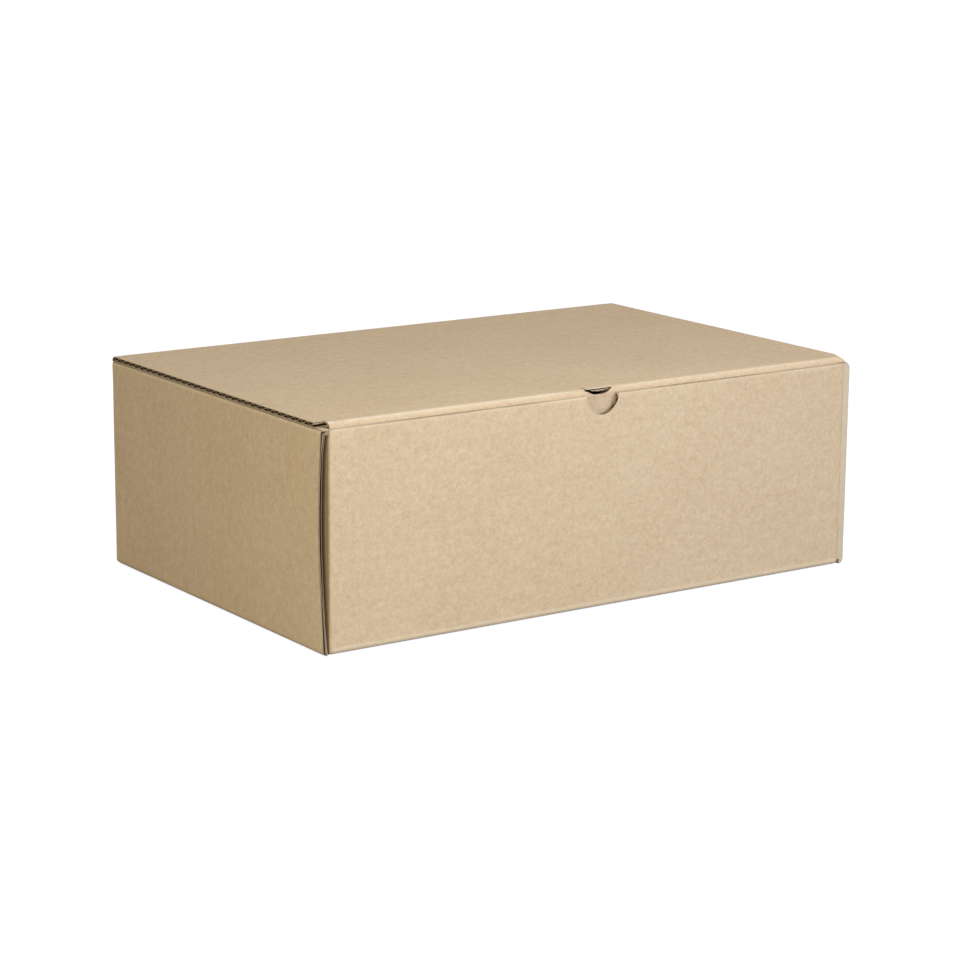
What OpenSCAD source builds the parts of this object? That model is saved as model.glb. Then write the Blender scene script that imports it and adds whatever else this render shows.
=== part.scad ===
// Closed cardboard mailing box: one die-cut sheet of corrugated board, folded up without glue.
// The tray has rolled double side walls, and the lid hinges on the back panel and tucks in at the front.
// Origin at the middle of the bottom, X along the length, front panel at -Y, Z up. Millimetres.

/* [Box] */
// Outer length, from side wall to side wall
length = 332; // [240:1:420]
// Outer depth, from front panel to back panel
depth = 215; // [150:1:280]
// Outer height, with the lid closed
height = 114; // [80:1:160]

/* [Board] */
// Thickness of the corrugated board
board = 2.8; // [2.4:0.1:3.2]
// Distance from one wave of the middle paper to the next
flute_pitch = 6.4; // [5.6:0.1:8]
// Thickness of each outer paper
liner = 0.3; // [0.2:0.05:0.35]
// Thickness of the wavy middle paper
medium = 0.3; // [0.2:0.05:0.35]

/* [Clearances] */
// Air between two layers of board that lie against each other
layer_gap = 0.2; // [0.1:0.05:0.4]
// Air between the lid and the walls that it rests on
lid_gap = 0.2; // [0.1:0.05:0.4]
// Air between the front panel and the tuck flap
flap_gap = 0.4; // [0.3:0.1:0.8]
// Air across the crease where the lid folds at the back
crease_gap = 0.3; // [0.2:0.05:0.5]
// Air round a locking tab in its slot
slot_gap = 0.3; // [0.2:0.05:0.5]

/* [Lid] */
// Depth of the tuck flap, from the lid's top to the flap's end
flap_depth = 36; // [26:1:44]
// Radius of the tuck flap's two lower corners
flap_corner_r = 14; // [6:1:20]
// How far back the square cut at each front corner of the lid reaches
corner_cut = 5; // [3.5:0.5:8]

/* [Finger cuts] */
// Radius of the half-round thumb notch in the front panel
notch_r = 10; // [7:0.5:14]
// Width of the half-moon cut in the lid's front fold
moon_w = 17; // [10:0.5:19]
// How far the half-moon cut reaches below the lid's top
moon_drop = 4; // [3.4:0.1:5.5]
// How far behind the front face the half-moon's straight side lies
moon_back = 4.6; // [4:0.1:5.2]

/* [Corner flaps] */
// Length of the flaps that the side walls hold, from the front or back face
corner_flap = 62; // [40:1:70]
// How far their upper edge drops towards the free end
corner_flap_drop = 6; // [2:1:12]

/* [Locking tabs] */
// Width of each tab
tab_w = 34; // [20:1:45]
// Distance between the two tabs of a side wall, centre to centre
tab_spacing = 106; // [70:1:110]

/* [Side walls] */
// How far the side walls' upright cut edges stand back from the box's faces
edge_back = 0.8; // [0.4:0.1:1.6]

/* [Hidden] */

$fn = 48;
// A cutter passes the surface that it cuts by this much
past = 1;
// Board colours
kraft = [0.78, 0.68, 0.54];
kraft_lid = [0.8, 0.7, 0.56];

// Faces of the box
front = -depth / 2;
back = depth / 2;
side = length / 2;

// The side wall is three layers thick: outer panel, corner flap, inner panel
flap_layer = board + layer_gap;
inner_layer = 2 * board + 2 * layer_gap;
wall_w = 3 * board + 2 * layer_gap;
wall_top = height - board - lid_gap;
// The corner flaps end under the bridge that joins the two panels of a side wall
corner_flap_top = wall_top - board - layer_gap;
front_panel_start = 2 * board + layer_gap;

// The tuck flap leans inwards, so that its end passes the front panel as the lid swings up
flap_face = front + board + flap_gap;
flap_lean_in = (pow(flap_depth, 2) - pow(board, 2)) / (2 * (depth - board)) + layer_gap;
flap_lean = asin(flap_lean_in / (flap_depth - board));
flap_hang = (flap_depth - board - board * sin(flap_lean)) / cos(flap_lean);
// Inner corner of the lid's front fold
fold_y = flap_face + board;
fold_z = height - board;
flap_side = side - front_panel_start - flap_gap;
inner_panel_front = fold_y + flap_lean_in + 2 * flap_gap;

// A place on the tuck flap in Y and Z: how far out from its inner face, and how far up from the fold
function flap_point(out, up) = [
    fold_y + out * cos(flap_lean) - up * sin(flap_lean),
    fold_z + out * sin(flap_lean) + up * cos(flap_lean)
];

// Wave of the middle paper: half its height, and the share of a pitch over which a hollow is open
wave = (board - 2 * liner - medium) / 2;
open_share = 0.84;
wave_steps = 4;
half_pitch = flute_pitch / 2;
// Board left plain between a row of flutes and a fold or an edge
plain_margin = half_pitch / 2;
// Half the width of the hollow that an upright cut edge shows
edge_groove_d = 0.45 * half_pitch;
// The front panel's top edge cuts its first flute off by this much
flute_overrun = 0.3 * half_pitch;
// Angle at which the back fold is split between the tray and the lid
fold_split = 45;

// One hollow of the board's section, under the upper paper (up = 1) or over the lower (up = -1)
module flute_hollow(up) {
    span = flute_pitch * open_share;
    roof = board / 2 - liner;
    polygon(concat(
        [for (i = [0 : wave_steps])
            let (s = (i / wave_steps - 0.5) * span)
            [s, up * (medium / 2 - wave * cos(360 * s / flute_pitch))]],
        [[span / 2, up * roof], [-span / 2, up * roof]]
    ));
}

// A row of hollows along X, with the board's middle on the X axis, from 0 to the run's end
module flute_row(run) {
    for (k = [0 : floor(run / half_pitch) - 1])
        translate([(k + 0.5) * half_pitch, 0]) flute_hollow(k % 2 == 0 ? 1 : -1);
}

// A fold's section: the sector between two angles of a round of the board's thickness
module fold_sector(from, to) {
    middle = (from + to) / 2;
    reach = 2 * board;
    intersection() {
        circle(r = board);
        polygon([
            [0, 0],
            reach * [cos(from), sin(from)],
            reach * [cos(middle), sin(middle)],
            reach * [cos(to), sin(to)]
        ]);
    }
}

// A fold with a short root at each end, which lies inside the panel that it joins
module fold(from, to, root_from = true, root_to = true) {
    root = board / 2;
    fold_sector(from, to);
    if (root_from) rotate(from) translate([0, -root]) square([board, root]);
    if (root_to) rotate(to) square([board, root]);
}

// A panel folded up from another: its inner corner on the origin, and its height above that
module folded_panel(top) {
    fold(180, 270);
    translate([-board, 0]) square([board, top]);
}

// Puts a section drawn in Y and Z along X, between two places
module along_x(from, to) {
    translate([from, 0, 0]) rotate([90, 0, 90]) linear_extrude(to - from) children();
}

// Puts a section drawn in X and Z along Y, between two places
module along_y(from, to) {
    translate([0, to, 0]) rotate([90, 0, 0]) linear_extrude(to - from) children();
}

module both_sides() {
    children();
    mirror([1, 0, 0]) children();
}

module both_ends() {
    children();
    mirror([0, 1, 0]) children();
}

// Section of the left side wall in X and Z: up the outer panel, over the bridge, down the inner panel
module side_wall_section() {
    translate([-side, 0]) {
        translate([board, board]) folded_panel(wall_top - 2 * board);
        translate([board, wall_top - board]) {
            fold(90, 180);
            square([inner_layer - board, board]);
        }
        translate([inner_layer, wall_top - board]) fold(0, 90);
        translate([inner_layer, board + layer_gap])
            square([board, wall_top - 2 * board - layer_gap]);
    }
}

// Plan of what is cut from the side wall's bridge and inner panel, for the tuck flap and the back panel
module side_wall_relief() {
    step = -side + front_panel_start - layer_gap;
    cut_w = wall_w + past - front_panel_start + layer_gap;
    translate([step, front - past])
        square([cut_w, inner_panel_front - front + past]);
    translate([step, back - flap_layer]) square([cut_w, flap_layer + past]);
}

// An upright cut edge shows the hollow between the papers, where it cuts a flute open
module edge_groove(layer, edge) {
    translate([-side + layer + liner, edge - edge_groove_d, board + layer_gap])
        cube([board - 2 * liner, 2 * edge_groove_d, wall_top - 2 * board - layer_gap]);
}

// The flutes run up the inner panel, and open at the tab's end
module locking_tab() {
    difference() {
        translate([-side + inner_layer, -tab_w / 2, layer_gap])
            cube([board, tab_w, 2 * board]);
        tab_flutes();
    }
}

module tab_flutes() {
    translate([-side + inner_layer + board / 2, -tab_w / 2 + liner, layer_gap - past])
        linear_extrude(wall_top - 2 * board) rotate(90) flute_row(tab_w - 2 * liner);
}

module tab_slot() {
    translate([-side + inner_layer - slot_gap, -tab_w / 2 - slot_gap, -past])
        cube([board + 2 * slot_gap, tab_w + 2 * slot_gap, board + 2 * past]);
}

module side_wall() {
    difference() {
        along_y(front + edge_back, back - edge_back) side_wall_section();
        translate([0, 0, -past]) linear_extrude(height) side_wall_relief();
        both_ends() {
            edge_groove(0, front + edge_back);
            translate([0, tab_spacing / 2, 0]) tab_flutes();
        }
        edge_groove(inner_layer, inner_panel_front);
        edge_groove(inner_layer, back - flap_layer);
    }
    both_ends() translate([0, tab_spacing / 2, 0]) locking_tab();
}

// Elevation of a corner flap: full height at its fold, lower towards its free end
module corner_flap_outline() {
    low = board + layer_gap;
    fold_end = front + board;
    free_end = front + corner_flap;
    translate([fold_end, board]) fold_sector(180, 270);
    polygon([
        [front, board],
        [fold_end, board],
        [fold_end, low],
        [fold_end + board, low],
        [free_end, low + corner_flap_drop],
        [free_end, corner_flap_top - corner_flap_drop],
        [fold_end + board, corner_flap_top],
        [front, corner_flap_top]
    ]);
}

// A flap at the end of the front panel, folded back into the side wall
module corner_flap_plate() {
    intersection() {
        translate([-side + front_panel_start, front + board, 0])
            linear_extrude(corner_flap_top) folded_panel(corner_flap - board);
        along_x(-side + flap_layer - past, -side + front_panel_start + board) corner_flap_outline();
    }
}

// The half-round thumb notch, cut through the front panel
module thumb_notch() {
    translate([0, front - past, wall_top]) rotate([-90, 0, 0])
        cylinder(r = notch_r, h = board + 2 * past);
}

// Hollows that the thumb notch and the front panel's top edge cut open
module front_panel_flutes() {
    along_x(-side + front_panel_start + board, side - front_panel_start - board)
        translate([front + board / 2, wall_top + flute_overrun]) rotate(-90) flute_row(notch_r);
}

module front_panel() {
    difference() {
        along_x(-side + front_panel_start, side - front_panel_start)
            translate([front + board, board]) folded_panel(wall_top - board);
        thumb_notch();
        front_panel_flutes();
    }
}

// The back panel ends in the lower half of the lid's fold
module back_panel() {
    along_x(-side + front_panel_start, side - front_panel_start) {
        translate([back - board, board]) mirror([1, 0]) folded_panel(height - 2 * board);
        translate([back - board, height - board]) fold(0, fold_split, root_to = false);
    }
}

module bottom_panel() {
    difference() {
        translate([-side + board, front + board, 0])
            cube([length - 2 * board, depth - 2 * board, board]);
        both_sides() both_ends() translate([0, tab_spacing / 2, 0]) tab_slot();
    }
}

module tray() {
    color(kraft) {
        bottom_panel();
        front_panel();
        back_panel();
        both_sides() {
            side_wall();
            both_ends() corner_flap_plate();
        }
    }
}

// Section of the lid in Y and Z: back fold, panel and front fold
module lid_section() {
    panel_end = back - board;
    difference() {
        union() {
            translate([fold_y, fold_z]) {
                square([panel_end - fold_y, board]);
                fold(90, 180, root_to = false);
            }
            translate([panel_end, fold_z]) fold(fold_split, 90, root_from = false);
        }
        // The crease's air lies on the lid's side of the fold
        translate([panel_end, fold_z]) rotate(fold_split)
            translate([-past, 0]) square([3 * board, crease_gap]);
        translate([fold_y + plain_margin, fold_z + board / 2])
            flute_row(panel_end - fold_y - 2 * plain_margin);
    }
}

// Section of the tuck flap in Y and Z. It leans inwards, and its root lies inside the fold
module flap_section() {
    root = board / 10;
    polygon([
        [fold_y, fold_z + root],
        [fold_y - board + root, fold_z + root],
        [fold_y - board, fold_z],
        flap_point(-board, -flap_hang),
        flap_point(0, -flap_hang)
    ]);
}

// The tuck flap's outline seen from the front, with round lower corners
module flap_outline() {
    low = height - flap_depth;
    corner_x = flap_side - flap_corner_r;
    translate([-flap_side - past, low + flap_corner_r])
        square([2 * (flap_side + past), flap_depth - flap_corner_r]);
    translate([-corner_x, low - past])
        square([2 * corner_x, flap_corner_r + 2 * past]);
    both_sides() translate([-corner_x, low + flap_corner_r]) circle(r = flap_corner_r);
}

module tuck_flap() {
    intersection() {
        difference() {
            along_x(-flap_side, flap_side) flap_section();
            along_x(-side, side) translate(flap_point(-board / 2, -2 * plain_margin))
                rotate(flap_lean - 90) flute_row(flap_hang - 3 * plain_margin);
        }
        translate([0, fold_y + 2 * flap_lean_in, 0]) rotate([90, 0, 0])
            linear_extrude(2 * flap_lean_in + 2 * board) flap_outline();
    }
}

// Plan of the lid. A square cut at each front corner leaves the fold as wide as the tuck flap
module lid_outline() {
    cut_back = fold_y - board + corner_cut;
    polygon([
        [-side, back],
        [side, back],
        [side, cut_back],
        [flap_side, cut_back],
        [flap_side, front],
        [-flap_side, front],
        [-flap_side, cut_back],
        [-side, cut_back]
    ]);
}

// Each end of the lid reaches past the back panel, and keeps the whole of its fold there
module lid_ear() {
    along_x(-side, -side + front_panel_start - crease_gap)
        translate([back - board, fold_z]) fold(0, 90, root_from = false);
}

// The half-moon cut: straight at the lid, curved below in the flap
module half_moon() {
    half = moon_w / 2;
    moon_r = (pow(half, 2) + pow(moon_drop, 2)) / (2 * moon_drop);
    module moon_cut(to) {
        translate([0, to, height + moon_r - moon_drop]) rotate([90, 0, 0])
            cylinder(r = moon_r, h = to - front + past);
    }
    moon_cut(front + moon_back);
    intersection() {
        moon_cut(fold_y + board);
        translate([-half, front, fold_z - board]) cube([moon_w, 4 * board, board]);
    }
}

module lid() {
    color(kraft_lid) difference() {
        union() {
            intersection() {
                along_x(-side, side) lid_section();
                translate([0, 0, fold_z - past]) linear_extrude(board + 2 * past) lid_outline();
            }
            tuck_flap();
            both_sides() lid_ear();
        }
        half_moon();
    }
}

tray();
lid();
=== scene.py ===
"""Looks of a corrugated mailing box: the camera, soft light, and the board as real layers of kraft paper."""

import math

import bmesh
import bpy
import numpy as np
from mathutils import Matrix, Vector


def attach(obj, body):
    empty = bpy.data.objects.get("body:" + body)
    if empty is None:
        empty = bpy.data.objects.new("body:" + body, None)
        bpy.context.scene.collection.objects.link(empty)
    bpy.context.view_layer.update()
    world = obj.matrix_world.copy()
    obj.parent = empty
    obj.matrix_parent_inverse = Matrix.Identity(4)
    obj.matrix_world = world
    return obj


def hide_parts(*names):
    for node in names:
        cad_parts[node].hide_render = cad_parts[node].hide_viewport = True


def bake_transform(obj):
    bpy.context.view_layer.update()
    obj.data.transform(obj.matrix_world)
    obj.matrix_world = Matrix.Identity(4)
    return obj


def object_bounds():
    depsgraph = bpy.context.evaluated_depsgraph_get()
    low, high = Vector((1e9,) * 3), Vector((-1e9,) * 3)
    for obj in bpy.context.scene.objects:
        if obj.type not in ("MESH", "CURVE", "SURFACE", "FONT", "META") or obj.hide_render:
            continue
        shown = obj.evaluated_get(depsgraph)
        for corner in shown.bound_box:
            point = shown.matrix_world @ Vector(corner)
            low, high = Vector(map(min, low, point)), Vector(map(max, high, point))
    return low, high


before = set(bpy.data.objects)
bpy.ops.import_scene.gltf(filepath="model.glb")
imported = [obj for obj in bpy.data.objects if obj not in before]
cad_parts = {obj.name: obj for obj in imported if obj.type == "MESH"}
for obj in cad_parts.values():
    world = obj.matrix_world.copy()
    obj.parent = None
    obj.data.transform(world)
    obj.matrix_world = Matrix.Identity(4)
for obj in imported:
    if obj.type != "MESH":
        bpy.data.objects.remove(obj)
cad_box = [list(corner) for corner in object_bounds()]

# Outer sizes in millimetres, taken from the frame
MM = 0.001
LENGTH, DEPTH, HEIGHT = [(high - low) / MM for low, high in zip(*cad_box)]
SIDE = LENGTH / 2
BACK = DEPTH / 2
FRONT = -BACK

# Board and clearances, as in the box's source
BOARD = 2.8
PITCH = 6.4
LINER = 0.3
MEDIUM = 0.36
LAYER_GAP = 0.2
LID_GAP = 0.2
FLAP_GAP = 0.4
SLOT_GAP = 0.3

# Places that follow from them
LIFTED = BOARD + LAYER_GAP
INNER_LAYER = 2 * LIFTED
PANEL_SIDE = SIDE - LIFTED - BOARD
WALL_TOP = HEIGHT - BOARD - LID_GAP
CORNER_FLAP_TOP = WALL_TOP - BOARD - LAYER_GAP
FLOOR_SIDE = SIDE - BOARD
FLOOR_END = BACK - BOARD

# Lid, tuck flap and finger cuts
FLAP_DEPTH = 36
FLAP_CORNER_R = 14
CORNER_CUT = 5
FLAP_FACE = FRONT + BOARD + FLAP_GAP
LEAN_IN = (FLAP_DEPTH**2 - BOARD**2) / (2 * (DEPTH - BOARD)) + LAYER_GAP
LEAN = math.asin(LEAN_IN / (FLAP_DEPTH - BOARD))
FLAP_HANG = (FLAP_DEPTH - BOARD - BOARD * math.sin(LEAN)) / math.cos(LEAN)
FOLD_Y = FLAP_FACE + BOARD
FLAP_SIDE = PANEL_SIDE - FLAP_GAP
CUT_BACK = FOLD_Y - BOARD + CORNER_CUT
# The lid's right front corner begins this far before the front fold's end, and droops by this much
RIGHT_CUT = 4.25
RIGHT_DROOP = 1.7
INNER_PANEL_FRONT = FOLD_Y + LEAN_IN + 2 * FLAP_GAP
NOTCH_R = 10
MOON_W = 17.6
MOON_DROP = 3.4
MOON_BACK = 4.6

# Corner flaps, locking tabs and side wall edges
CORNER_FLAP = 62
CORNER_FLAP_DROP = 6
TAB_W = 34
TAB_SPACING = 106
EDGE_BACK = 0.8
# The right wall's front edge stands nearer the front
RIGHT_EDGE_BACK = 0.3
# How much of a corner fold lies in front of the side wall's end, and how thick it is above the flap
IN_FRONT = 1.8
SHELL = 0.75
# How far the left front fold is pressed in, and how far back the bow of the wall's edge beside it is felt
PRESSED_IN = 1.3
BOW_REACH = 24

# How far the outer paper sinks between two glue lines, and over a wide sway of the panel
WASHBOARD = 0.05
SWAY = 0.12

# Air where two layers of one sheet meet, so that no two faces lie in one place
HAIR = 0.002
# Air between pressed layers that keep their own faces
TOUCH = 0.02

# A right-angled fold's length along its outer face, and how much thinner the board is there
QUARTER = BOARD * math.pi / 2
FOLD_PINCH = 0.15
# The back fold's crushed middle: its depth under the outer face, and its angle up to the crease line
CORE_DEPTH = 0.9
CREASE_ANGLE = 42

# Sizes of the mesh's cells: across the flutes, along them, and round a fold
FLUTE_STEP = PITCH / 8
PANEL_STEP = 16
FOLD_STEP = 0.5
# A round cutter's sides, and the angle in degrees from which an edge is shaded sharp
CUTTER_SIDES = 96
SHARP_ANGLE = 35

# Kinds of face, which are also the material slots of each piece
PAPER, CUT, MIDDLE = range(3)
SHEET = "sheet_place"


def unit(angle):
    """Directions at angles in a section's plane."""
    return np.stack([np.cos(angle), np.sin(angle)], -1)


def bump_at(distance, width):
    """1 where the distance is 0, falling smoothly to 0 over about twice the width."""
    return np.exp(-((distance / width) ** 2))


def step_up(value, start, end):
    """0 up to the start, 1 from the end on, smooth between."""
    share = np.clip((value - start) / (end - start), 0, 1)
    return share * share * (3 - 2 * share)


def ripple(a, b, seed, size):
    """Smooth noise from 0 to 1 over a plane, whose waves are about size millimetres long."""
    draw = np.random.default_rng(seed)
    total = np.zeros(np.broadcast(a, b).shape)
    waves = 9
    for _ in range(waves):
        turn = draw.uniform(0, 2 * math.pi)
        rate = 2 * math.pi / (size * draw.uniform(0.6, 1.8))
        shift = draw.uniform(0, 2 * math.pi)
        total += np.sin(rate * (a * math.cos(turn) + b * math.sin(turn)) + shift)
    return np.clip(0.5 + total / waves, 0, 1)


def even(value):
    """A depth or share that is the same all over a layer."""
    return lambda u, v: np.full(u.shape, value)


def new_object(name, data):
    """An object with its data, linked to the scene."""
    made = bpy.data.objects.new(name, data)
    bpy.context.scene.collection.objects.link(made)
    return made


class Profile:
    """Section of folded board: straight runs and folds, which turn right about the board's inner corner.
    Distances are measured along the outer face."""

    def __init__(self, start, heading):
        self.stretches = []
        self.end = np.array(start, float)
        self.heading = math.radians(heading)
        self.length = 0.0

    def run(self, distance):
        self.stretches.append((self.length, self.end, self.heading, False))
        self.end = self.end + distance * unit(self.heading)
        self.length += distance
        return self

    def fold(self, degrees=90):
        self.stretches.append((self.length, self.end, self.heading, True))
        centre = self.end + BOARD * unit(self.heading - math.pi / 2)
        self.heading -= math.radians(degrees)
        self.end = centre - BOARD * unit(self.heading - math.pi / 2)
        self.length += BOARD * math.radians(degrees)
        return self

    def at(self, s):
        """Points of the outer face, and the inward directions there."""
        points = np.zeros(s.shape + (2,))
        inward = np.zeros(s.shape + (2,))
        for start, point, heading, turns in self.stretches:
            here = s >= start - 1e-9
            gone = s[here] - start
            facing = heading - gone / BOARD if turns else np.full(gone.shape, heading)
            inside = unit(facing - math.pi / 2)
            if turns:
                centre = point + BOARD * unit(heading - math.pi / 2)
                points[here] = centre - BOARD * inside
            else:
                points[here] = point + gone[:, None] * unit(heading)
            inward[here] = inside
        return points, inward

    def under(self, s, depth):
        """Points that lie at a depth under the outer face."""
        points, inward = self.at(s)
        return points + depth[..., None] * inward

    def fold_share(self, s, margin):
        """1 inside the folds and 0 more than the margin away from them."""
        share = np.zeros(s.shape)
        ends = [start for start, *_ in self.stretches[1:]] + [self.length]
        for (start, _, _, turns), end in zip(self.stretches, ends):
            if turns:
                inside = step_up(s, start - margin, start) * (1 - step_up(s, end, end + margin))
                share = np.maximum(share, inside)
        return share


def section_yz(profile, back=False):
    """Places board whose section lies in Y and Z, with its length along X."""
    def place(x, s, depth):
        yz = profile.under(s, depth)
        return np.stack([x, -yz[..., 0] if back else yz[..., 0], yz[..., 1]], -1)
    return place


def section_xz(profile, right=False):
    """Places board whose section lies in X and Z, with its length along Y."""
    def place(y, s, depth):
        xz = profile.under(s, depth)
        return np.stack([-xz[..., 0] if right else xz[..., 0], y, xz[..., 1]], -1)
    return place


def section_xy(profile, right=False, back=False):
    """Places board whose section lies in X and Y, with its length along Z."""
    def place(z, s, depth):
        xy = profile.under(s, depth)
        # Beside the bottom fold the board curls under, as the panel next to it does. Its lowest rim stays
        # a little open, because faces folded quite flat would be lost in the cut of the thumb notch
        curl = np.sqrt(1 - np.clip(1 - z / BOARD, 0, 0.9995) ** 2)
        outward = np.minimum(xy[..., 1] + FLOOR_END, 0)
        xy[..., 1] -= outward * (1 - curl)
        sign = np.array([-1 if right else 1, -1 if back else 1])
        return np.concatenate([xy * sign, z[..., None]], -1)
    return place


class Piece:
    """Gathers layers of paper into one mesh."""

    def __init__(self, name):
        self.name = name
        self.points = []
        self.sheet = []
        self.faces = []
        self.kinds = []
        self.count = 0

    def layer(self, place, us, vs, outer, inner, kinds, keep=None, spread=None, flat=None, wear=None):
        """A closed layer between two depths under the board's outer face. kinds are those of its outer side,
        inner side and rim. keep says which cells are there, spread turns u into a place, flat gives the
        place on the unfolded sheet, and wear how much paler the paper is, for rubbing and
        for painted highlights, or below 0 how much darker, for soil and for painted shade."""
        u, v = np.meshgrid(us, vs, indexing="ij")
        middle_u = (u[1:, 1:] + u[:-1, :-1]) / 2
        middle_v = (v[1:, 1:] + v[:-1, :-1]) / 2
        kept = np.ones(middle_u.shape, bool) if keep is None else keep(middle_u, middle_v)
        if spread is not None:
            u = spread(u, v)
        flat_u, flat_v = (u, v) if flat is None else flat(u, v)
        tone_shift = np.zeros(u.shape) if wear is None else wear(u, v)
        for depth in (outer(u, v), inner(u, v)):
            self.points.append(place(u, v, depth).reshape(-1, 3))
            self.sheet.append(np.stack([flat_u * MM, flat_v * MM, tone_shift], -1).reshape(-1, 3))
        corner = np.arange(u.size).reshape(u.shape) + self.count
        below = u.size
        self.count += 2 * below
        a, b, c, d = corner[:-1, :-1], corner[1:, :-1], corner[1:, 1:], corner[:-1, 1:]
        self._add((a, b, c, d), kept, kinds[0])
        self._add((d + below, c + below, b + below, a + below), kept, kinds[1])
        beside = np.pad(kept, 1)
        rims = ((a, d, beside[:-2, 1:-1]), (c, b, beside[2:, 1:-1]),
                (b, a, beside[1:-1, :-2]), (d, c, beside[1:-1, 2:]))
        for p, q, neighbour in rims:
            self._add((p, q, q + below, p + below), kept & ~neighbour, kinds[2])

    def _add(self, corners, which, kind):
        quads = np.stack([c[which] for c in corners], -1)
        self.faces.append(quads)
        self.kinds.append(np.full(len(quads), kind))

    def board(self, place, us, vs, wave, dip=None, thick=None, crushed=None, frayed=None, **options):
        """The three papers of the board. wave gives the flutes' phase, dip how far the outer face sinks,
        thick where the inner face lies, crushed the share by which the flutes are pressed solid and frayed
        how much thicker the inner paper has become."""
        def top(u, v):
            sunk = WASHBOARD / 2 * (1 - np.cos(wave(u, v))) * (1 - press(u, v))
            return sunk + (0 if dip is None else dip(u, v))

        def bottom(u, v):
            sunk = WASHBOARD / 2 * (1 + np.cos(wave(u, v))) * (1 - press(u, v))
            return (BOARD if thick is None else thick(u, v)) - sunk

        def press(u, v):
            return np.zeros(u.shape) if crushed is None else crushed(u, v)

        def inner_top(u, v):
            return bottom(u, v) - LINER - (0 if frayed is None else frayed(u, v))

        def middle(u, v, side):
            centre = (top(u, v) + LINER + inner_top(u, v)) / 2
            room = (inner_top(u, v) - top(u, v) - LINER) / 2 - TOUCH
            half = MEDIUM / 2 + (room - MEDIUM / 2) * press(u, v)
            swing = (room - half) * np.cos(wave(u, v))
            return centre - swing + side * half

        self.layer(place, us, vs, top, lambda u, v: top(u, v) + LINER, (PAPER, MIDDLE, CUT), **options)
        self.layer(place, us, vs, lambda u, v: middle(u, v, -1), lambda u, v: middle(u, v, 1),
                   (MIDDLE, MIDDLE, CUT), **options)
        self.layer(place, us, vs, inner_top, bottom, (MIDDLE, PAPER, CUT), **options)

    def build(self, body, cutters=()):
        """Makes the object, cuts it and hands it to a body of the frame."""
        mesh = bpy.data.meshes.new(self.name)
        mesh.from_pydata(np.concatenate(self.points) * MM, [], np.concatenate(self.faces))
        mesh.polygons.foreach_set("material_index", np.concatenate(self.kinds).astype(np.int32))
        attribute = mesh.attributes.new(SHEET, "FLOAT_VECTOR", "POINT")
        attribute.data.foreach_set("vector", np.concatenate(self.sheet).astype(np.float32).ravel())
        for material in MATERIALS:
            mesh.materials.append(material)
        work = bmesh.new()
        work.from_mesh(mesh)
        bmesh.ops.delete(work, geom=[v for v in work.verts if not v.link_faces], context="VERTS")
        bmesh.ops.recalc_face_normals(work, faces=work.faces)
        work.to_mesh(mesh)
        work.free()
        piece = new_object(self.name, mesh)
        for cutter in cutters:
            cut_away(piece, cutter)
        piece.data.shade_smooth()
        piece.data.set_sharp_from_angle(angle=math.radians(SHARP_ANGLE))
        if body is not None:
            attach(piece, body)
        return piece


def cut_away(piece, cutter):
    modifier = piece.modifiers.new("cut", "BOOLEAN")
    modifier.operation = "DIFFERENCE"
    modifier.solver = "EXACT"
    modifier.material_mode = "TRANSFER"
    modifier.object = cutter
    graph = bpy.context.evaluated_depsgraph_get()
    mesh = bpy.data.meshes.new_from_object(piece.evaluated_get(graph), depsgraph=graph)
    piece.modifiers.clear()
    old = piece.data
    piece.data = mesh
    bpy.data.meshes.remove(old)
    bpy.data.objects.remove(cutter)


def made_cutter(work, kind):
    """Turns a finished form into a cutter that leaves one kind of face."""
    mesh = bpy.data.meshes.new("cutter")
    work.to_mesh(mesh)
    work.free()
    mesh.materials.append(MATERIALS[kind])
    return new_object("cutter", mesh)


def cylinder_cutter(radius, z, y_from, y_to, kind):
    """A round cutter along Y, in the middle of the box's length."""
    work = bmesh.new()
    turn = Matrix.Rotation(math.pi / 2, 4, "X")
    move = Matrix.Translation((0, (y_from + y_to) / 2 * MM, z * MM))
    bmesh.ops.create_cone(work, cap_ends=True, segments=CUTTER_SIDES, radius1=radius * MM,
                          radius2=radius * MM, depth=(y_to - y_from) * MM, matrix=move @ turn)
    return made_cutter(work, kind)


def outline_cutter(outline, y_from, y_to, kind):
    """A cutter along Y with a closed outline in X and Z."""
    work = bmesh.new()
    rings = [[work.verts.new((x * MM, y * MM, z * MM)) for x, z in outline] for y in (y_from, y_to)]
    for ring in rings:
        work.faces.new(ring)
    for i, vertex in enumerate(rings[0]):
        work.faces.new([rings[0][i - 1], vertex, rings[1][i], rings[1][i - 1]])
    bmesh.ops.recalc_face_normals(work, faces=work.faces)
    return made_cutter(work, kind)


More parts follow.
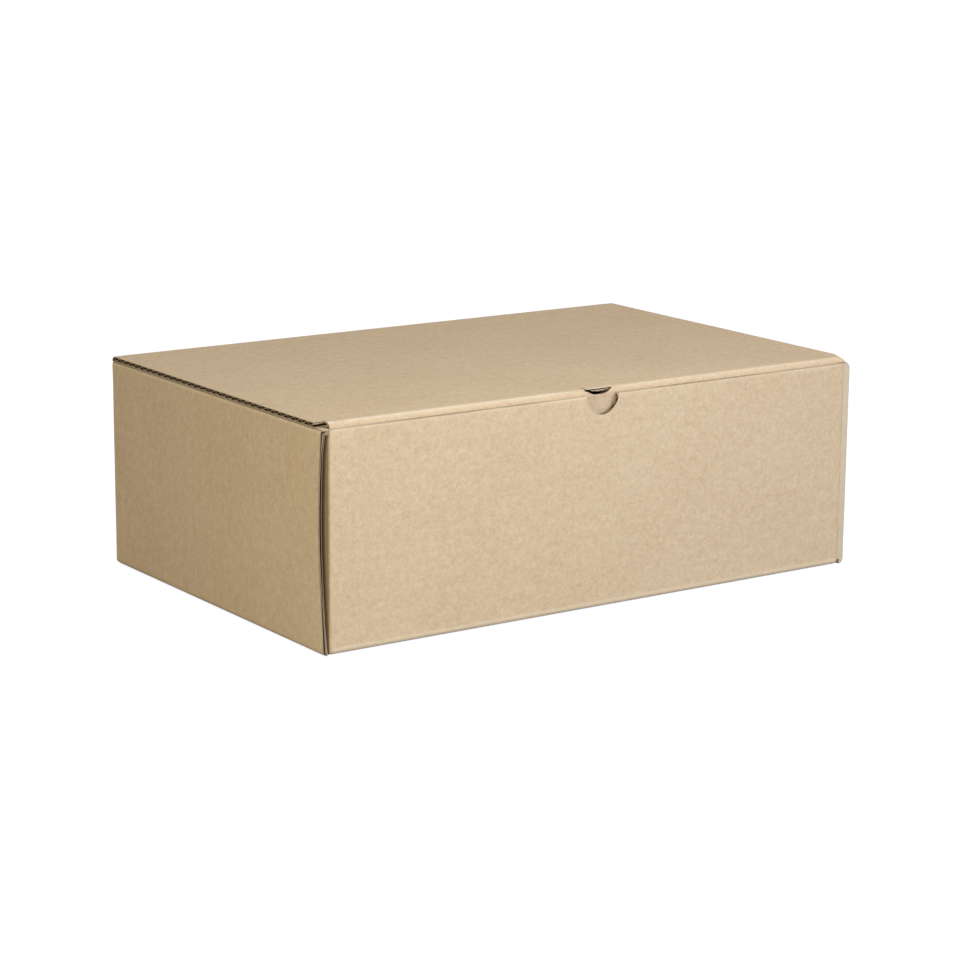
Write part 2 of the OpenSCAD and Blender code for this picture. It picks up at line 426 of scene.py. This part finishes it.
def moon_cutters():
    """The half-moon's air: the whole form up to the straight cut in the lid, a torn slot on through the
    flap, and a thin groove under the lid's paper at the straight cut."""
    radius = ((MOON_W / 2) ** 2 + MOON_DROP**2) / (2 * MOON_DROP)
    centre_z = HEIGHT + radius - MOON_DROP
    across = np.linspace(-1, 1, 49)

    def curve(share, half, lift):
        x = share * half
        return list(zip(x, centre_z - np.sqrt(radius**2 - x**2) + lift))

    half = MOON_W / 2
    whole = curve(across, half, 0) + [(half + 0.6, HEIGHT + 1), (-half - 0.6, HEIGHT + 1)]
    # The flap's torn edge is ragged, and its gap is wider at the left
    ragged = 0.25 * np.sin(across * 27) * np.cos(across * 11 + 1)
    torn = np.maximum(1.65 - 1.25 * across**2 - 0.35 * across + ragged, 0.1)
    slot = curve(across, half - 0.6, 0) + curve(across, half - 0.6, torn)[::-1]
    # The groove is deepest at its left end
    x = across * (half - 0.4)
    groove_top = HEIGHT - 0.45
    groove_foot = groove_top - 0.5 - 0.3 * bump_at(x + half, 2.5)
    groove = [(place, groove_top) for place in x] + list(zip(x, groove_foot))[::-1]
    end = FRONT + MOON_BACK
    # The slot's and groove's cut faces take the flute paper, whose dark colour is painted shade
    return [outline_cutter(whole, FRONT - 2, end, CUT),
            outline_cutter(slot, FRONT - 1, FOLD_Y + BOARD, MIDDLE),
            outline_cutter(groove, end - 1, end + 1.6, MIDDLE)]


def steps(start, end, size):
    """Even steps of about a size, with both ends."""
    return np.linspace(start, end, max(2, int(round(abs(end - start) / size)) + 1))


def joined(*runs):
    """Runs of places put together, each place once."""
    return np.unique(np.round(np.concatenate([np.atleast_1d(r) for r in runs]), 6))


def with_edges(start, end, size):
    """Places along a panel, closer together at its two cut edges."""
    near = np.array([0, 0.3, 1, 2.2, 4])
    return joined(start + near, end - near, steps(start + 4, end - 4, size))


def waves(s):
    """The flutes' phase, by the distance across them."""
    return 2 * math.pi * s / PITCH


def edge_crush(distance):
    """How far a cut edge is pressed in, by the distance from it."""
    return 0.22 * bump_at(distance, 1.6)


def front_or_back(name, back):
    """The front or back panel with its two corner flaps."""
    piece = Piece(name)
    top = HEIGHT - BOARD if back else WALL_TOP
    profile = Profile((-FLOOR_END, 0), 180).fold().run(top - BOARD)
    place = section_yz(profile, back)
    seed = 11 if back else 5

    def dip(x, s):
        sunk = SWAY * ripple(x, s, seed, 90) * (1 - profile.fold_share(s, 6))
        return sunk if back else sunk + edge_crush(profile.length - s)

    def thick(x, s):
        plain = BOARD - FOLD_PINCH * profile.fold_share(s, 2)
        # The front panel's top edge leans on the tuck flap, in places more than in others
        leans = 0 if back else (0.06 + 0.32 * ripple(x, 0.0, 71, 45)) * bump_at(profile.length - s, 2.2)
        return plain + leans

    def crushed(x, s):
        if back:
            return profile.fold_share(s, 1.5)
        top_edge = (0.6 + 0.4 * ripple(x, 0.0, 73, 40)) * bump_at(profile.length - s, 1.2)
        end = step_up(np.abs(x), PANEL_SIDE - 3, PANEL_SIDE - 0.5)
        end = end * step_up(s, CORNER_FLAP_TOP - 4, CORNER_FLAP_TOP)
        return np.maximum(profile.fold_share(s, 1.5), np.maximum(top_edge, end))

    def wear(x, s):
        tone_shift = 0.5 * profile.fold_share(s, 1)
        if back:
            return tone_shift
        # The front panel's top edge is rubbed in places, and more evenly toward its right end
        in_places = 0.5 * ripple(x, s, 77, 30) * (1 - 0.6 * step_up(x, 20, 120))
        return tone_shift + bump_at(profile.length - s, 0.9) * (in_places + 0.2 * step_up(x, 60, 150))

    along = joined(steps(0, profile.length, FLUTE_STEP), profile.length - np.array([0.2, 0.5, 1.2, 2]))
    ends = PANEL_SIDE - np.array([0.5, 1.5, 3])
    across = joined(steps(-PANEL_SIDE, PANEL_SIDE, PANEL_STEP), steps(-15, 15, 2.5), ends, -ends)
    start = FLOOR_END
    piece.board(place, across, along, lambda x, s: waves(s - profile.length + 0.5), dip, thick, crushed,
                flat=lambda x, s: (x, start + s if back else -start - s), wear=wear)
    for right in (False, True):
        corner_flap(piece, right, back, seed)
    if back:
        fold_core(piece, profile)
    return piece


def corner_flap(piece, right, back, seed):
    """The fold at a panel's end and the flap beyond it, held inside the side wall."""
    profile = Profile((-PANEL_SIDE - HAIR, FRONT), 180).fold().run(CORNER_FLAP - BOARD)
    place = section_xy(profile, right, back)
    left_front = not right and not back

    def height(share, s):
        beyond = np.clip((s - QUARTER - BOARD) / (CORNER_FLAP - 2 * BOARD), 0, 1)
        low = LIFTED * step_up(s, QUARTER - 0.5, QUARTER + 0.1) + CORNER_FLAP_DROP * beyond
        # The fold stands a little higher than the flap beyond it
        high = CORNER_FLAP_TOP + 0.12 * (s < QUARTER) - CORNER_FLAP_DROP * beyond
        if not back:
            # In front of the side wall's end the fold is as high as the panel
            high = np.where(s < IN_FRONT, WALL_TOP - 0.1, high)
        return low + (high - low) * share

    def dip(z, s):
        dent = 0.12 * ripple(z, s, seed + 1, 14) * profile.fold_share(s, 1)
        # The left front fold is pressed in, which leaves a gap beside the side wall's edge
        pressed = PRESSED_IN if left_front else 0
        return dent + pressed * step_up(s, 0.5, QUARTER) * (1 - step_up(s, QUARTER + 8, QUARTER + 24))

    def thick(z, s):
        plain = BOARD - 2 * FOLD_PINCH * profile.fold_share(s, 1)
        if back:
            return plain
        # Above the flap only a thin shell of the fold goes on up, in front of the side wall's end
        upper = (z > CORNER_FLAP_TOP) & (s < IN_FRONT)
        return np.where(upper, dip(z, s) + SHELL, plain)

    def wear(z, s):
        tone_shift = 0.1 * profile.fold_share(s, 1)
        if not left_front:
            return tone_shift
        # Painted shade darkens the left front fold where it lies in the gap beside the side wall
        return tone_shift - 0.6 * step_up(s, 1.2, 3) * (1 - step_up(s, QUARTER + 6, QUARTER + 14))

    sign = -1 if right else 1
    up = joined(steps(0, 0.04, 0.005), steps(0.04, 1, 0.02))
    along = joined(steps(0, QUARTER, 0.55), IN_FRONT, IN_FRONT + 0.05, QUARTER + 0.1,
                   steps(QUARTER, profile.length, 4))
    piece.board(place, up, along, lambda z, s: waves(z), dip, thick, lambda z, s: profile.fold_share(s, 2),
                spread=height,
                flat=lambda z, s: (-sign * (PANEL_SIDE + s), (1 if back else -1) * (FLOOR_END + z)),
                wear=wear)


def fold_core(piece, wall):
    """The crushed middle of the back fold, up to the crease line, under the paper that crosses it."""
    profile = Profile(wall.end + (0, HAIR), 90).fold(CREASE_ANGLE)
    piece.layer(section_yz(profile, back=True), steps(-PANEL_SIDE, PANEL_SIDE, PANEL_STEP),
                steps(0, profile.length, FOLD_STEP), even(CORE_DEPTH), even(BOARD - FOLD_PINCH),
                (MIDDLE, PAPER, CUT), flat=lambda x, s: (x, FLOOR_END + wall.length + s))


def side_wall(name, right):
    """A side wall rolled double: outer panel, bridge, inner panel and two locking tabs."""
    piece = Piece(name)
    bridge = INNER_LAYER - BOARD
    profile = Profile((-FLOOR_SIDE, 0), 180).fold().run(WALL_TOP - 2 * BOARD).fold().run(bridge)
    profile.fold().run(WALL_TOP - BOARD - LAYER_GAP)
    place = section_xz(profile, right)
    sign = 1 if right else -1
    # Places along the outer face: the top fold's start and end, the relief for the tuck flap, the tabs
    top_fold = QUARTER + WALL_TOP - 2 * BOARD
    bridge_start = top_fold + QUARTER
    step_s = bridge_start + BOARD + 0.14
    tab_s = profile.length - BOARD
    edge = FRONT + (RIGHT_EDGE_BACK if right else EDGE_BACK)
    inner_back = BACK - LIFTED

    def keep(y, s):
        inside = (y > INNER_PANEL_FRONT) & (y < inner_back)
        tab = np.abs(np.abs(y) - TAB_SPACING / 2) < TAB_W / 2
        return ((s < step_s) | inside) & ((s < tab_s) | tab)

    def recess(s):
        """How far the left wall's front edge bows back, most a little above half its height."""
        if right:
            return np.zeros(s.shape)
        share = np.clip((s - QUARTER) / (top_fold - QUARTER), 0, 1)
        bow = 3 * np.sin(math.pi * share**1.15) + 1.5 * share - 0.5
        return bow * (1 - step_up(s, top_fold, bridge_start))

    def spread(y, s):
        return y + recess(s) * (1 - step_up(y, edge, edge + BOW_REACH))

    def edge_distance(y, s):
        outer = np.minimum(y - edge - recess(s), -edge - y)
        inner = np.minimum(y - INNER_PANEL_FRONT, inner_back - y)
        return np.where(s < step_s, outer, np.maximum(inner, 0))

    def dip(y, s):
        calm = profile.fold_share(s, 8)
        sway = SWAY * ripple(y, s, 23 + sign, 80) * (1 - calm)
        # The top fold is squarer than a plain round
        turned = np.clip((s - top_fold) / QUARTER, 0, 1) * math.pi / 2
        corner = BOARD * (1 / np.maximum(np.cos(turned), np.sin(turned)) - 1)
        square = 0.15 + 0.82 * step_up(y, edge + 0.3, edge + 2.3) if right else 0.85
        return sway + 0.5 * edge_crush(edge_distance(y, s)) - square * corner

    def thick(y, s):
        panel = 1 - profile.fold_share(s, 3)
        plain = BOARD - 0.8 * bump_at(edge_distance(y, s), 2.6) * panel - FOLD_PINCH * (1 - panel)
        if not right:
            return plain
        # The right wall's front edge is pressed shut against the front panel's round end
        behind_round = np.clip(-FLOOR_END - y, 0, BOARD)
        filled = LIFTED - TOUCH + BOARD - np.sqrt(BOARD**2 - behind_round**2)
        straight = (s > QUARTER + 0.01) & (s < top_fold + 0.01)
        at_front = y < -FLOOR_END + 2
        return np.where(at_front, np.where(straight, filled, BOARD - TOUCH), plain)

    def crushed(y, s):
        in_fold = 0.55 * profile.fold_share(s, 1)
        front_end = step_up(-y, FLOOR_END - 2, FLOOR_END - 0.5)
        if not right:
            front_end = front_end * step_up(s, bridge_start - 0.7 * QUARTER, bridge_start)
        return np.maximum(in_fold, front_end)

    def wear(y, s):
        # A painted highlight along the top fold, and a line of painted shade between it and the lid. The
        # left wall's front edge is darkened as painted shade in its recess; the right wall's pressed edge is
        # paler
        painted_highlight_and_shade = 0.4 * bump_at(s - bridge_start + 2.7, 0.5) - 0.9 * bump_at(s - bridge_start + 1.7, 0.45)
        end = bump_at(y - edge - recess(s), 0.4) * (s < bridge_start + BOARD)
        return painted_highlight_and_shade * (1 - end) + end * (0.5 if right else -0.35)

    across = joined(with_edges(edge, -edge, PITCH / 6), [INNER_PANEL_FRONT, inner_back],
                    *[centre + side * TAB_W / 2 for centre in (-TAB_SPACING / 2, TAB_SPACING / 2)
                      for side in (-1, 1)])
    bridge_end = bridge_start + bridge
    outer_panel = joined(QUARTER + 0.03, QUARTER + 0.4, steps(QUARTER, top_fold, 9), top_fold - 0.4,
                         top_fold + 0.03)
    inner_panel = joined(steps(bridge_end + QUARTER, tab_s, 9), tab_s, profile.length)
    along = joined(steps(0, QUARTER, FOLD_STEP), outer_panel, steps(top_fold, bridge_start, 0.4), step_s,
                   steps(bridge_start, bridge_end, 1), steps(bridge_end, bridge_end + QUARTER, FOLD_STEP),
                   inner_panel)
    piece.board(place, across, along, lambda y, s: waves(y - edge) + math.pi, dip, thick, crushed, keep=keep,
                spread=spread, flat=lambda y, s: (sign * (FLOOR_SIDE + s), y), wear=wear)
    return piece


def bottom_panel():
    """The bottom, with four slots for the locking tabs."""
    piece = Piece("bottom_panel")
    slot_from = SIDE - INNER_LAYER - BOARD - SLOT_GAP
    slot_to = SIDE - INNER_LAYER + SLOT_GAP
    half = TAB_W / 2 + SLOT_GAP

    def place(x, y, depth):
        return np.stack([x, y, depth], -1)

    def keep(x, y):
        across = (np.abs(x) > slot_from) & (np.abs(x) < slot_to)
        return ~(across & (np.abs(np.abs(y) - TAB_SPACING / 2) < half))

    slot_x = np.array([slot_from, slot_to])
    slot_y = np.array([TAB_SPACING / 2 - half, TAB_SPACING / 2 + half])
    across = joined(steps(-FLOOR_SIDE, FLOOR_SIDE, 20), slot_x, -slot_x)
    along = joined(steps(-FLOOR_END, FLOOR_END, FLUTE_STEP), slot_y, -slot_y)
    piece.board(place, across, along, lambda x, y: waves(y), keep=keep)
    return piece


def lid():
    """Tuck flap, front fold, panel, and the lid's half of the back fold."""
    piece = Piece("lid_panel")
    end = (FOLD_Y - BOARD * math.cos(LEAN) + FLAP_HANG * math.sin(LEAN),
           HEIGHT - BOARD - BOARD * math.sin(LEAN) - FLAP_HANG * math.cos(LEAN))
    lean_degrees = math.degrees(LEAN)
    profile = Profile(end, 90 + lean_degrees).run(FLAP_HANG).fold(90 + lean_degrees)
    fold_end = profile.length
    profile.run(FLOOR_END - FOLD_Y)
    panel_end = profile.length
    place = section_yz(profile)

    cut_end = fold_end + CUT_BACK - FOLD_Y
    shallow_end = fold_end - RIGHT_CUT
    plain = FLAP_SIDE - FLAP_CORNER_R

    def round_width(s):
        rise = np.clip(s, 0, FLAP_CORNER_R)
        return np.sqrt(FLAP_CORNER_R**2 - (FLAP_CORNER_R - rise) ** 2)

    def spread(x, s):
        past = np.abs(x) - plain
        in_corner = (past > 0) & (s < FLAP_CORNER_R)
        return np.where(in_corner, np.sign(x) * (plain + past * round_width(s) / FLAP_CORNER_R), x)

    def keep(x, s):
        return (np.abs(x) < FLAP_SIDE) | (s > np.where(x > 0, shallow_end, cut_end))

    def from_end(x, s):
        end = np.where(s > np.where(x > 0, shallow_end, cut_end), SIDE, plain + round_width(s))
        return np.abs(end - np.abs(x))

    def dip(x, s):
        calm = profile.fold_share(s, 5)
        sway = SWAY * ripple(x, s, 41, 110) * (1 - calm)
        fold = 0.2 * ripple(x, 0.0, 43, 24) * profile.fold_share(s, 1)
        # The right front corner droops onto the side wall
        droop = RIGHT_DROOP * step_up(x, FLAP_SIDE, SIDE + 0.5)
        droop = droop * (1 - step_up(s, fold_end - 1, fold_end + 8))
        return sway + fold + np.where(s > FLAP_HANG + 1, droop, 0)

    def thick(x, s):
        return BOARD - FOLD_PINCH * profile.fold_share(s, 1)

    def crushed(x, s):
        in_fold = step_up(s, FLAP_HANG - 2, FLAP_HANG) * (1 - step_up(s, fold_end + 1, fold_end + 2.6))
        return in_fold * np.where(x < 0, step_up(from_end(x, s), 1, 4), 1)

    along = joined([0, 0.05, 0.2, 0.45], steps(0, FLAP_HANG, FLUTE_STEP), steps(FLAP_HANG, fold_end, 0.35),
                   cut_end, shallow_end, steps(fold_end, panel_end, FLUTE_STEP))
    edges = joined(SIDE - np.array([0, 0.4, 1, 2, 4]), FLAP_SIDE - np.array([0, 0.4, 1, 2, 4, 7, 10.5, 14]))
    across = joined(edges, -edges, steps(-plain, plain, PANEL_STEP))
    flat_start = FLOOR_END + HEIGHT + 2 * BOARD + DEPTH

    def flat(x, s):
        return x, flat_start - s

    def wear(x, s):
        # The front fold's top carries a pale ridge, part rubbed paper and part painted highlight
        ridge_wear_and_highlight = bump_at(s - fold_end + 0.9, 1.2) * (0.3 + 0.5 * ripple(x, s, 47, 16))
        right_corner = 0.4 * step_up(x, FLAP_SIDE, FLAP_SIDE + 1) * (np.abs(s - shallow_end) < 1)
        return ridge_wear_and_highlight + right_corner

    def frayed(x, s):
        return 0.4 * bump_at(from_end(x, s), 1.5) * (s > fold_end)

    piece.board(place, across, along, lambda x, s: waves(s - panel_end), dip, thick, crushed, frayed,
                keep=keep, spread=spread, flat=flat, wear=wear)

    def rear_flat(x, s):
        return x, flat_start - panel_end - s

    # The lid's half of the back fold's crushed middle
    rear = Profile(profile.end + (HAIR, 0), 0).fold(CREASE_ANGLE)
    piece.layer(section_yz(rear), steps(-PANEL_SIDE, PANEL_SIDE, PANEL_STEP),
                steps(0, rear.length, FOLD_STEP), even(CORE_DEPTH), even(BOARD - FOLD_PINCH),
                (MIDDLE, PAPER, CUT), flat=rear_flat)
    # Each end of the lid reaches past the back panel, and keeps the whole of its fold there
    ear = Profile(profile.end + (HAIR, 0), 0).fold()
    for sign in (-1, 1):
        ends = sorted((sign * (PANEL_SIDE + LAYER_GAP), sign * SIDE))
        piece.board(section_yz(ear), steps(*ends, 1.5), steps(0, ear.length, 0.4), lambda x, s: waves(s),
                    lambda x, s: 0.3 + 0.9 * step_up(s, 0, ear.length), even(BOARD - 0.2), flat=rear_flat)
    return piece


def back_crease():
    """The outer paper where it crosses the back fold."""
    piece = Piece("back_crease")
    profile = Profile((-BACK, HEIGHT - BOARD), 90).fold()
    piece.layer(section_yz(profile, back=True), steps(-PANEL_SIDE, PANEL_SIDE, PANEL_STEP),
                steps(0, profile.length, 0.2), even(0.0), even(LINER), (PAPER, MIDDLE, CUT),
                flat=lambda x, s: (x, FLOOR_END + HEIGHT + s), wear=even(0.7))
    made = piece.build(None)
    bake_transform(made)


class Graph:
    """Adds shader nodes to a material or world and links them."""

    def __init__(self, owner):
        owner.use_nodes = True
        self.owner = owner
        self.tree = owner.node_tree
        self.tree.nodes.clear()

    def add(self, kind, inputs=None, **settings):
        node = self.tree.nodes.new(kind)
        for key, value in settings.items():
            setattr(node, key, value)
        for key, value in (inputs or {}).items():
            if isinstance(value, bpy.types.NodeSocket):
                self.tree.links.new(value, node.inputs[key])
            else:
                node.inputs[key].default_value = value
        return node

    def math(self, operation, a, b):
        return self.add("ShaderNodeMath", {0: a, 1: b}, operation=operation).outputs[0]

    def mix(self, share, a, b):
        """A mix of two colours, whose sockets are the Mix node's seventh and eighth."""
        return self.add("ShaderNodeMix", {0: share, 6: a, 7: b}, data_type="RGBA").outputs[2]

    def noise(self, place, scale, detail, roughness=0.55):
        node = self.add("ShaderNodeTexNoise", {"Vector": place, "Scale": scale, "Detail": detail,
                                               "Roughness": roughness})
        return node.outputs["Fac"]

    def range(self, value, low, high, to_low=0.0, to_high=1.0):
        node = self.add("ShaderNodeMapRange", {"Value": value, "From Min": low, "From Max": high,
                                               "To Min": to_low, "To Max": to_high})
        return node.outputs[0]


def paper_material(name, tint, dark, light, roughness, fibre, marks=()):
    """Kraft paper: clouds, mottling, fibres across the flutes, dark and light flecks, and marks, each with
    its place on the sheet, half width, half height and strength. The sheet's third value is
    wear: paler for rubbing and painted highlights, below 0 darker for soil and painted shade."""
    g = Graph(bpy.data.materials.new(name))
    sheet = g.add("ShaderNodeAttribute", attribute_name=SHEET, attribute_type="GEOMETRY")
    parts = g.add("ShaderNodeSeparateXYZ", {0: sheet.outputs["Vector"]})
    place = g.add("ShaderNodeCombineXYZ", {0: parts.outputs[0], 1: parts.outputs[1]}).outputs[0]
    along = g.add("ShaderNodeMapping", {"Vector": place, "Scale": (2.6, 1.0, 1.0)}).outputs[0]
    clouds = g.noise(place, 22.0, 3.0)
    mottle = g.noise(place, 190.0, 4.0, 0.65)
    spots = g.noise(place, 420.0, 2.0, 0.6)
    fibres = g.noise(along, 620.0, 3.0, 0.6)
    grain = g.noise(place, 1300.0, 2.0, 0.6)
    tone = g.range(clouds, 0.3, 0.7, -0.2, 0.2)
    for pattern, share in ((mottle, 0.5), (fibres, 0.5), (grain, 0.35), (spots, 0.45)):
        tone = g.math("ADD", tone, g.range(pattern, 0.3, 0.7, -share, share))
    base = g.mix(g.range(tone, -1.3, 1.3), dark, light)
    specks = g.noise(along, 900.0, 1.0, 0.5)
    base = g.mix(g.range(specks, 0.69, 0.76, 0.0, 0.3), base, shade(tint, 0.55))
    beside = g.add("ShaderNodeMapping", {"Vector": along, "Location": (0.3, 0.7, 0)}).outputs[0]
    pale = g.noise(beside, 800.0, 1.0)
    base = g.mix(g.range(pale, 0.68, 0.76, 0.0, 0.3), base, [min(1, c * 1.3) for c in tint] + [1])
    wear = parts.outputs[2]
    # Paler for rubbed paper and painted highlights, darker below 0 for soil and painted shade
    base = g.mix(g.range(wear, 0, 1), base, WORN_AND_HIGHLIGHT)
    base = g.mix(g.range(wear, 0, -1), base, SOILED_AND_SHADE)
    for x, y, wide, high, share in marks:
        moved = g.add("ShaderNodeMapping", {"Vector": place, "Location": (-x / wide, -y / high, 0),
                                            "Scale": (1 / (wide * MM), 1 / (high * MM), 1)})
        away = g.add("ShaderNodeVectorMath", {0: moved.outputs[0]}, operation="LENGTH").outputs["Value"]
        base = g.mix(g.range(away, 1, 0.4, 0, share), base, SOILED_AND_SHADE)
    height = g.math("ADD", g.math("MULTIPLY", fibres, fibre), g.math("MULTIPLY", grain, 0.5 * fibre))
    bump = g.add("ShaderNodeBump", {"Height": height, "Strength": 0.35, "Distance": 0.0002})
    shader = g.add("ShaderNodeBsdfPrincipled", {"Base Color": base, "Roughness": roughness,
                                                "Specular IOR Level": 0.2, "Normal": bump.outputs[0]})
    g.add("ShaderNodeOutputMaterial", {0: shader.outputs[0]})
    return g.owner


def shade(tint, level):
    return [c * level for c in tint] + [1]


# Colours: the paper, a cut edge, the flute paper painted dark as shade in the flutes' hollows, and where the
# paper is worn pale or soiled, whose colours also serve as painted highlight and painted shade
KRAFT = (0.665, 0.52, 0.362)
KRAFT_DARK = (0.57, 0.42, 0.27, 1)
KRAFT_LIGHT = (0.76, 0.62, 0.455, 1)
EDGE = (0.44, 0.345, 0.245)
# The flute paper is painted much darker than it is, as shade in the flutes' hollows
FLUTE_PAPER_AND_SHADE = (0.1, 0.056, 0.026)
WORN_AND_HIGHLIGHT = (0.88, 0.77, 0.6, 1)
SOILED_AND_SHADE = (0.13, 0.09, 0.055, 1)

# A nick and three specks: place on the sheet, half width, half height and strength
MARKS = [(93.5, -212.8, 0.35, 1.1, 0.6), (-37.6, -186.7, 0.5, 0.45, 0.35), (-34.6, -112.7, 0.5, 0.5, 0.35),
         (-48.2, 267.8, 0.5, 0.9, 0.35)]

MATERIALS = [
    paper_material("kraft_paper", KRAFT, KRAFT_DARK, KRAFT_LIGHT, 0.85, 1.0, MARKS),
    paper_material("cut_edge", EDGE, shade(EDGE, 0.8), shade(EDGE, 1.2), 0.95, 2.0),
    paper_material("flute_paper_and_shade", FLUTE_PAPER_AND_SHADE, shade(FLUTE_PAPER_AND_SHADE, 0.85), shade(FLUTE_PAPER_AND_SHADE, 1.15), 0.9, 1.0),
]


# The photograph's view: where the camera stands in metres, its yaw, pitch and roll, and its lens
CAMERA_PLACE = (-0.8451, -1.2223, 0.3865)
CAMERA_TURN = (34.63, 12.896, 0.447)
CAMERA_LENS = 105.84


def make_camera():
    """Looks from the left of the front, from a little above the lid."""
    yaw, pitch, roll = (math.radians(angle) for angle in CAMERA_TURN)
    data = bpy.data.cameras.new("camera")
    data.lens = CAMERA_LENS
    camera = new_object("camera", data)
    ahead = np.array([math.sin(yaw) * math.cos(pitch), math.cos(yaw) * math.cos(pitch), -math.sin(pitch)])
    level = np.array([math.cos(yaw), -math.sin(yaw), 0])
    up = np.cross(level, ahead)
    right = math.cos(roll) * level + math.sin(roll) * up
    above = math.cos(roll) * up - math.sin(roll) * level
    turned = Matrix(np.column_stack([right, above, -ahead]).tolist())
    camera.matrix_world = Matrix.Translation(CAMERA_PLACE) @ turned.to_4x4()
    bpy.context.scene.camera = camera


def area_light(name, place, aim, size, energy, tint):
    """A rectangular light that the camera doesn't see."""
    data = bpy.data.lights.new(name, "AREA")
    data.shape = "RECTANGLE"
    data.size, data.size_y = size
    data.energy = energy
    data.color = tint
    light = new_object(name, data)
    light.visible_camera = False
    behind = Vector(place) - Vector(aim)
    light.matrix_world = Matrix.Translation(place) @ behind.to_track_quat("Z", "Y").to_matrix().to_4x4()


def seen_directly(g):
    """1 for rays from the camera, reflections and see-through rays."""
    path = g.add("ShaderNodeLightPath")
    either = g.math("MAXIMUM", path.outputs["Is Camera Ray"], path.outputs["Is Glossy Ray"])
    return g.math("MAXIMUM", either, path.outputs["Is Transmission Ray"])


# The surround's light level with the box and from above, and the floor's own colour and glow
FILL_LEVEL = (0.66, 0.56, 0.38, 1)
FILL_ABOVE = (0.46, 0.455, 0.45, 1)
FLOOR_GREY = (0.35, 0.35, 0.35, 1)
FLOOR_GLOW = (0.91, 0.94, 1, 1)
GLOW_STRENGTH = 0.92


def make_stage():
    """A pale floor that keeps a soft shadow, a white surround and studio light."""
    world = bpy.data.worlds.new("studio")
    bpy.context.scene.world = world
    w = Graph(world)
    toward = w.add("ShaderNodeTexCoord").outputs["Generated"]
    height = w.add("ShaderNodeSeparateXYZ", {0: toward}).outputs[2]
    glow = w.mix(w.range(height, 0, 1), FILL_LEVEL, FILL_ABOVE)
    fill = w.add("ShaderNodeBackground", {"Color": glow, "Strength": 1.0})
    white = w.add("ShaderNodeBackground", {"Color": (1, 1, 1, 1), "Strength": 1.0})
    chosen = w.add("ShaderNodeMixShader", {0: seen_directly(w), 1: fill.outputs[0], 2: white.outputs[0]})
    w.add("ShaderNodeOutputWorld", {0: chosen.outputs[0]})

    g = Graph(bpy.data.materials.new("floor"))
    matt = g.add("ShaderNodeBsdfDiffuse", {"Color": FLOOR_GREY})
    strength = g.math("MULTIPLY", seen_directly(g), GLOW_STRENGTH)
    shine = g.add("ShaderNodeEmission", {"Color": FLOOR_GLOW, "Strength": strength})
    both = g.add("ShaderNodeAddShader", {0: matt.outputs[0], 1: shine.outputs[0]})
    g.add("ShaderNodeOutputMaterial", {0: both.outputs[0]})
    mesh = bpy.data.meshes.new("floor")
    reach, under = 12.0, -0.0003
    mesh.from_pydata([(-reach, -reach, under), (reach, -reach, under), (reach, reach, under),
                      (-reach, reach, under)], [], [(0, 1, 2, 3)])
    mesh.materials.append(g.owner)
    floor = new_object("floor", mesh)

    area_light("key", place=(0.35, -1.15, 0.55), aim=(0, 0, 0.05), size=(0.9, 0.6), energy=7.6,
               tint=(0.81, 0.865, 1.0))
    area_light("near_corner", place=(-0.52, -0.32, 0.2), aim=(-0.16, -0.08, 0.05), size=(0.25, 0.25),
               energy=0.62, tint=(1.0, 0.95, 0.72))
    area_light("above_front", place=(-0.02, -0.33, 0.36), aim=(-0.02, -0.1, 0.11), size=(0.25, 0.25),
               energy=0.4, tint=(0.93, 1.0, 1.0))


bpy.context.scene.view_settings.view_transform = "Standard"
make_camera()
make_stage()

notch = cylinder_cutter(NOTCH_R, WALL_TOP, FRONT - 2, FLAP_FACE - FLAP_GAP / 2, PAPER)
front_or_back("front_panel", False).build("tray", [notch])
front_or_back("back_panel", True).build("tray")
side_wall("left_side_wall", False).build("tray")
side_wall("right_side_wall", True).build("tray")
bottom = bottom_panel().build("tray")
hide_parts("tray")
lid_piece = lid().build("lid", moon_cutters())
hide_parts("lid")
back_crease()
